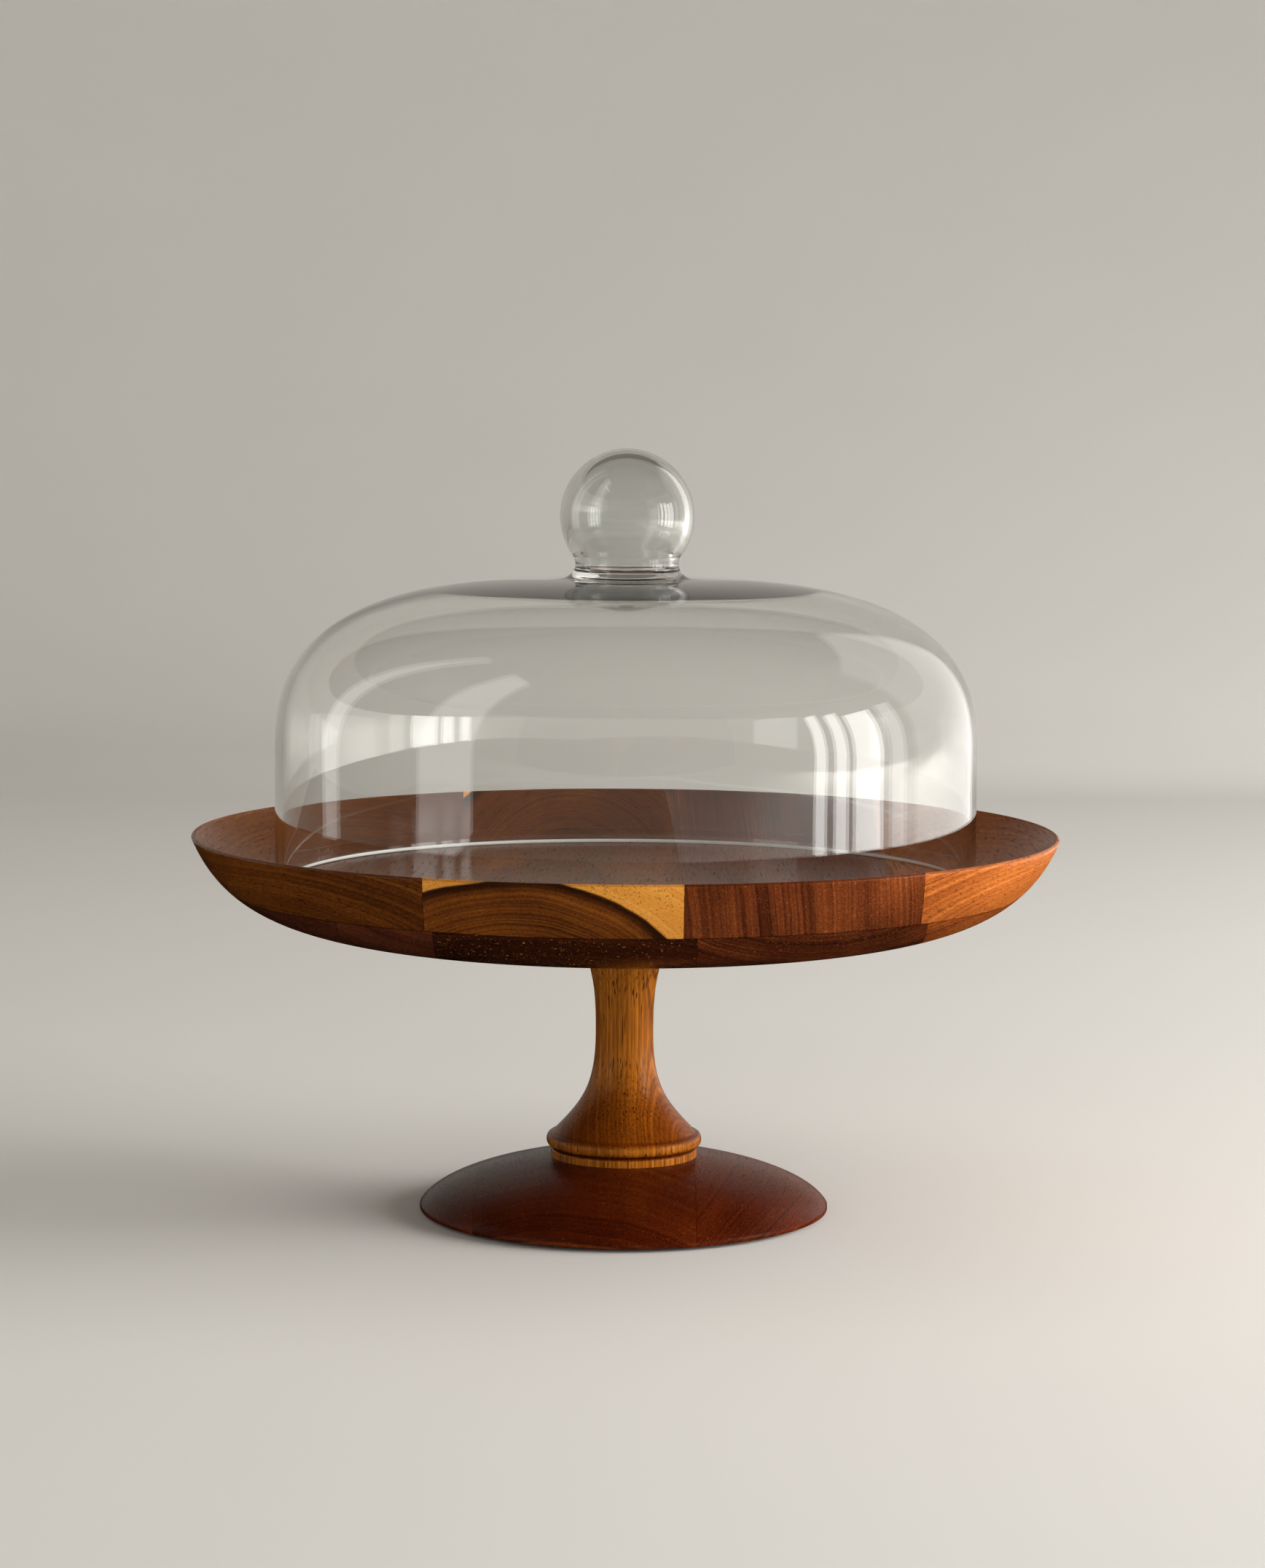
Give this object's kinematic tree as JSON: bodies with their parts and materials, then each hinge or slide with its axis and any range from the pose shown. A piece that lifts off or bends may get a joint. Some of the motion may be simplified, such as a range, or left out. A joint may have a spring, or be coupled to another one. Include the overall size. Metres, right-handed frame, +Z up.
{
  "type": "footed dish with glass bell dome",
  "caption": "Round wooden dish on a turned stem and domed foot, holding a loose clear glass bell dome that lifts off by a hollow ball knob to show or cover what stands on the dish.",
  "frame": {"origin": "centre of the base, on the surface that the pads stand on", "axes": "+Z up along the turning axis, +X to the right across the boards, the boards' grain along Y"},
  "size_m": [0.33, 0.33, 0.2925],
  "materials": {
    "dish_dark_wood": "clear satin lacquer over dark brown heartwood",
    "dish_gold_wood": "clear satin lacquer over golden brown wood",
    "dish_red_wood": "clear satin lacquer over red-brown heartwood",
    "stem_wood": "clear satin lacquer over golden brown wood",
    "foot_wood": "clear satin lacquer over dark red-brown wood",
    "clear_glass": "fire-polished clear blown glass",
    "screw_steel": "bright zinc plated",
    "pad_rubber": "matte"
  },
  "bodies": {
    "stand": {"dish_upper_board_1": "dish_dark_wood", "dish_upper_board_2": "dish_gold_wood", "dish_upper_board_3": "dish_dark_wood", "dish_upper_board_4": "dish_gold_wood", "dish_lower_board_1": "dish_dark_wood", "dish_lower_board_2": "dish_red_wood", "dish_lower_board_3": "dish_red_wood", "dish_lower_board_4": "dish_red_wood", "dish_lower_board_5": "dish_red_wood", "stem": "stem_wood", "foot_board_1": "foot_wood", "foot_board_2": "foot_wood", "foot_board_3": "foot_wood", "dowel_screw": "screw_steel", "foot_screw": "screw_steel", "foot_pad_1": "pad_rubber", "foot_pad_2": "pad_rubber", "foot_pad_3": "pad_rubber", "foot_pad_4": "pad_rubber"},
    "dome": {"glass_dome": "clear_glass", "ball_knob": "clear_glass"}
  },
  "joints": [
    {"name": "dome_lift", "type": "slide", "parent": "stand", "child": "dome", "axis": [0, 0, 1], "range_m": [0, 0.2]}
  ]
}
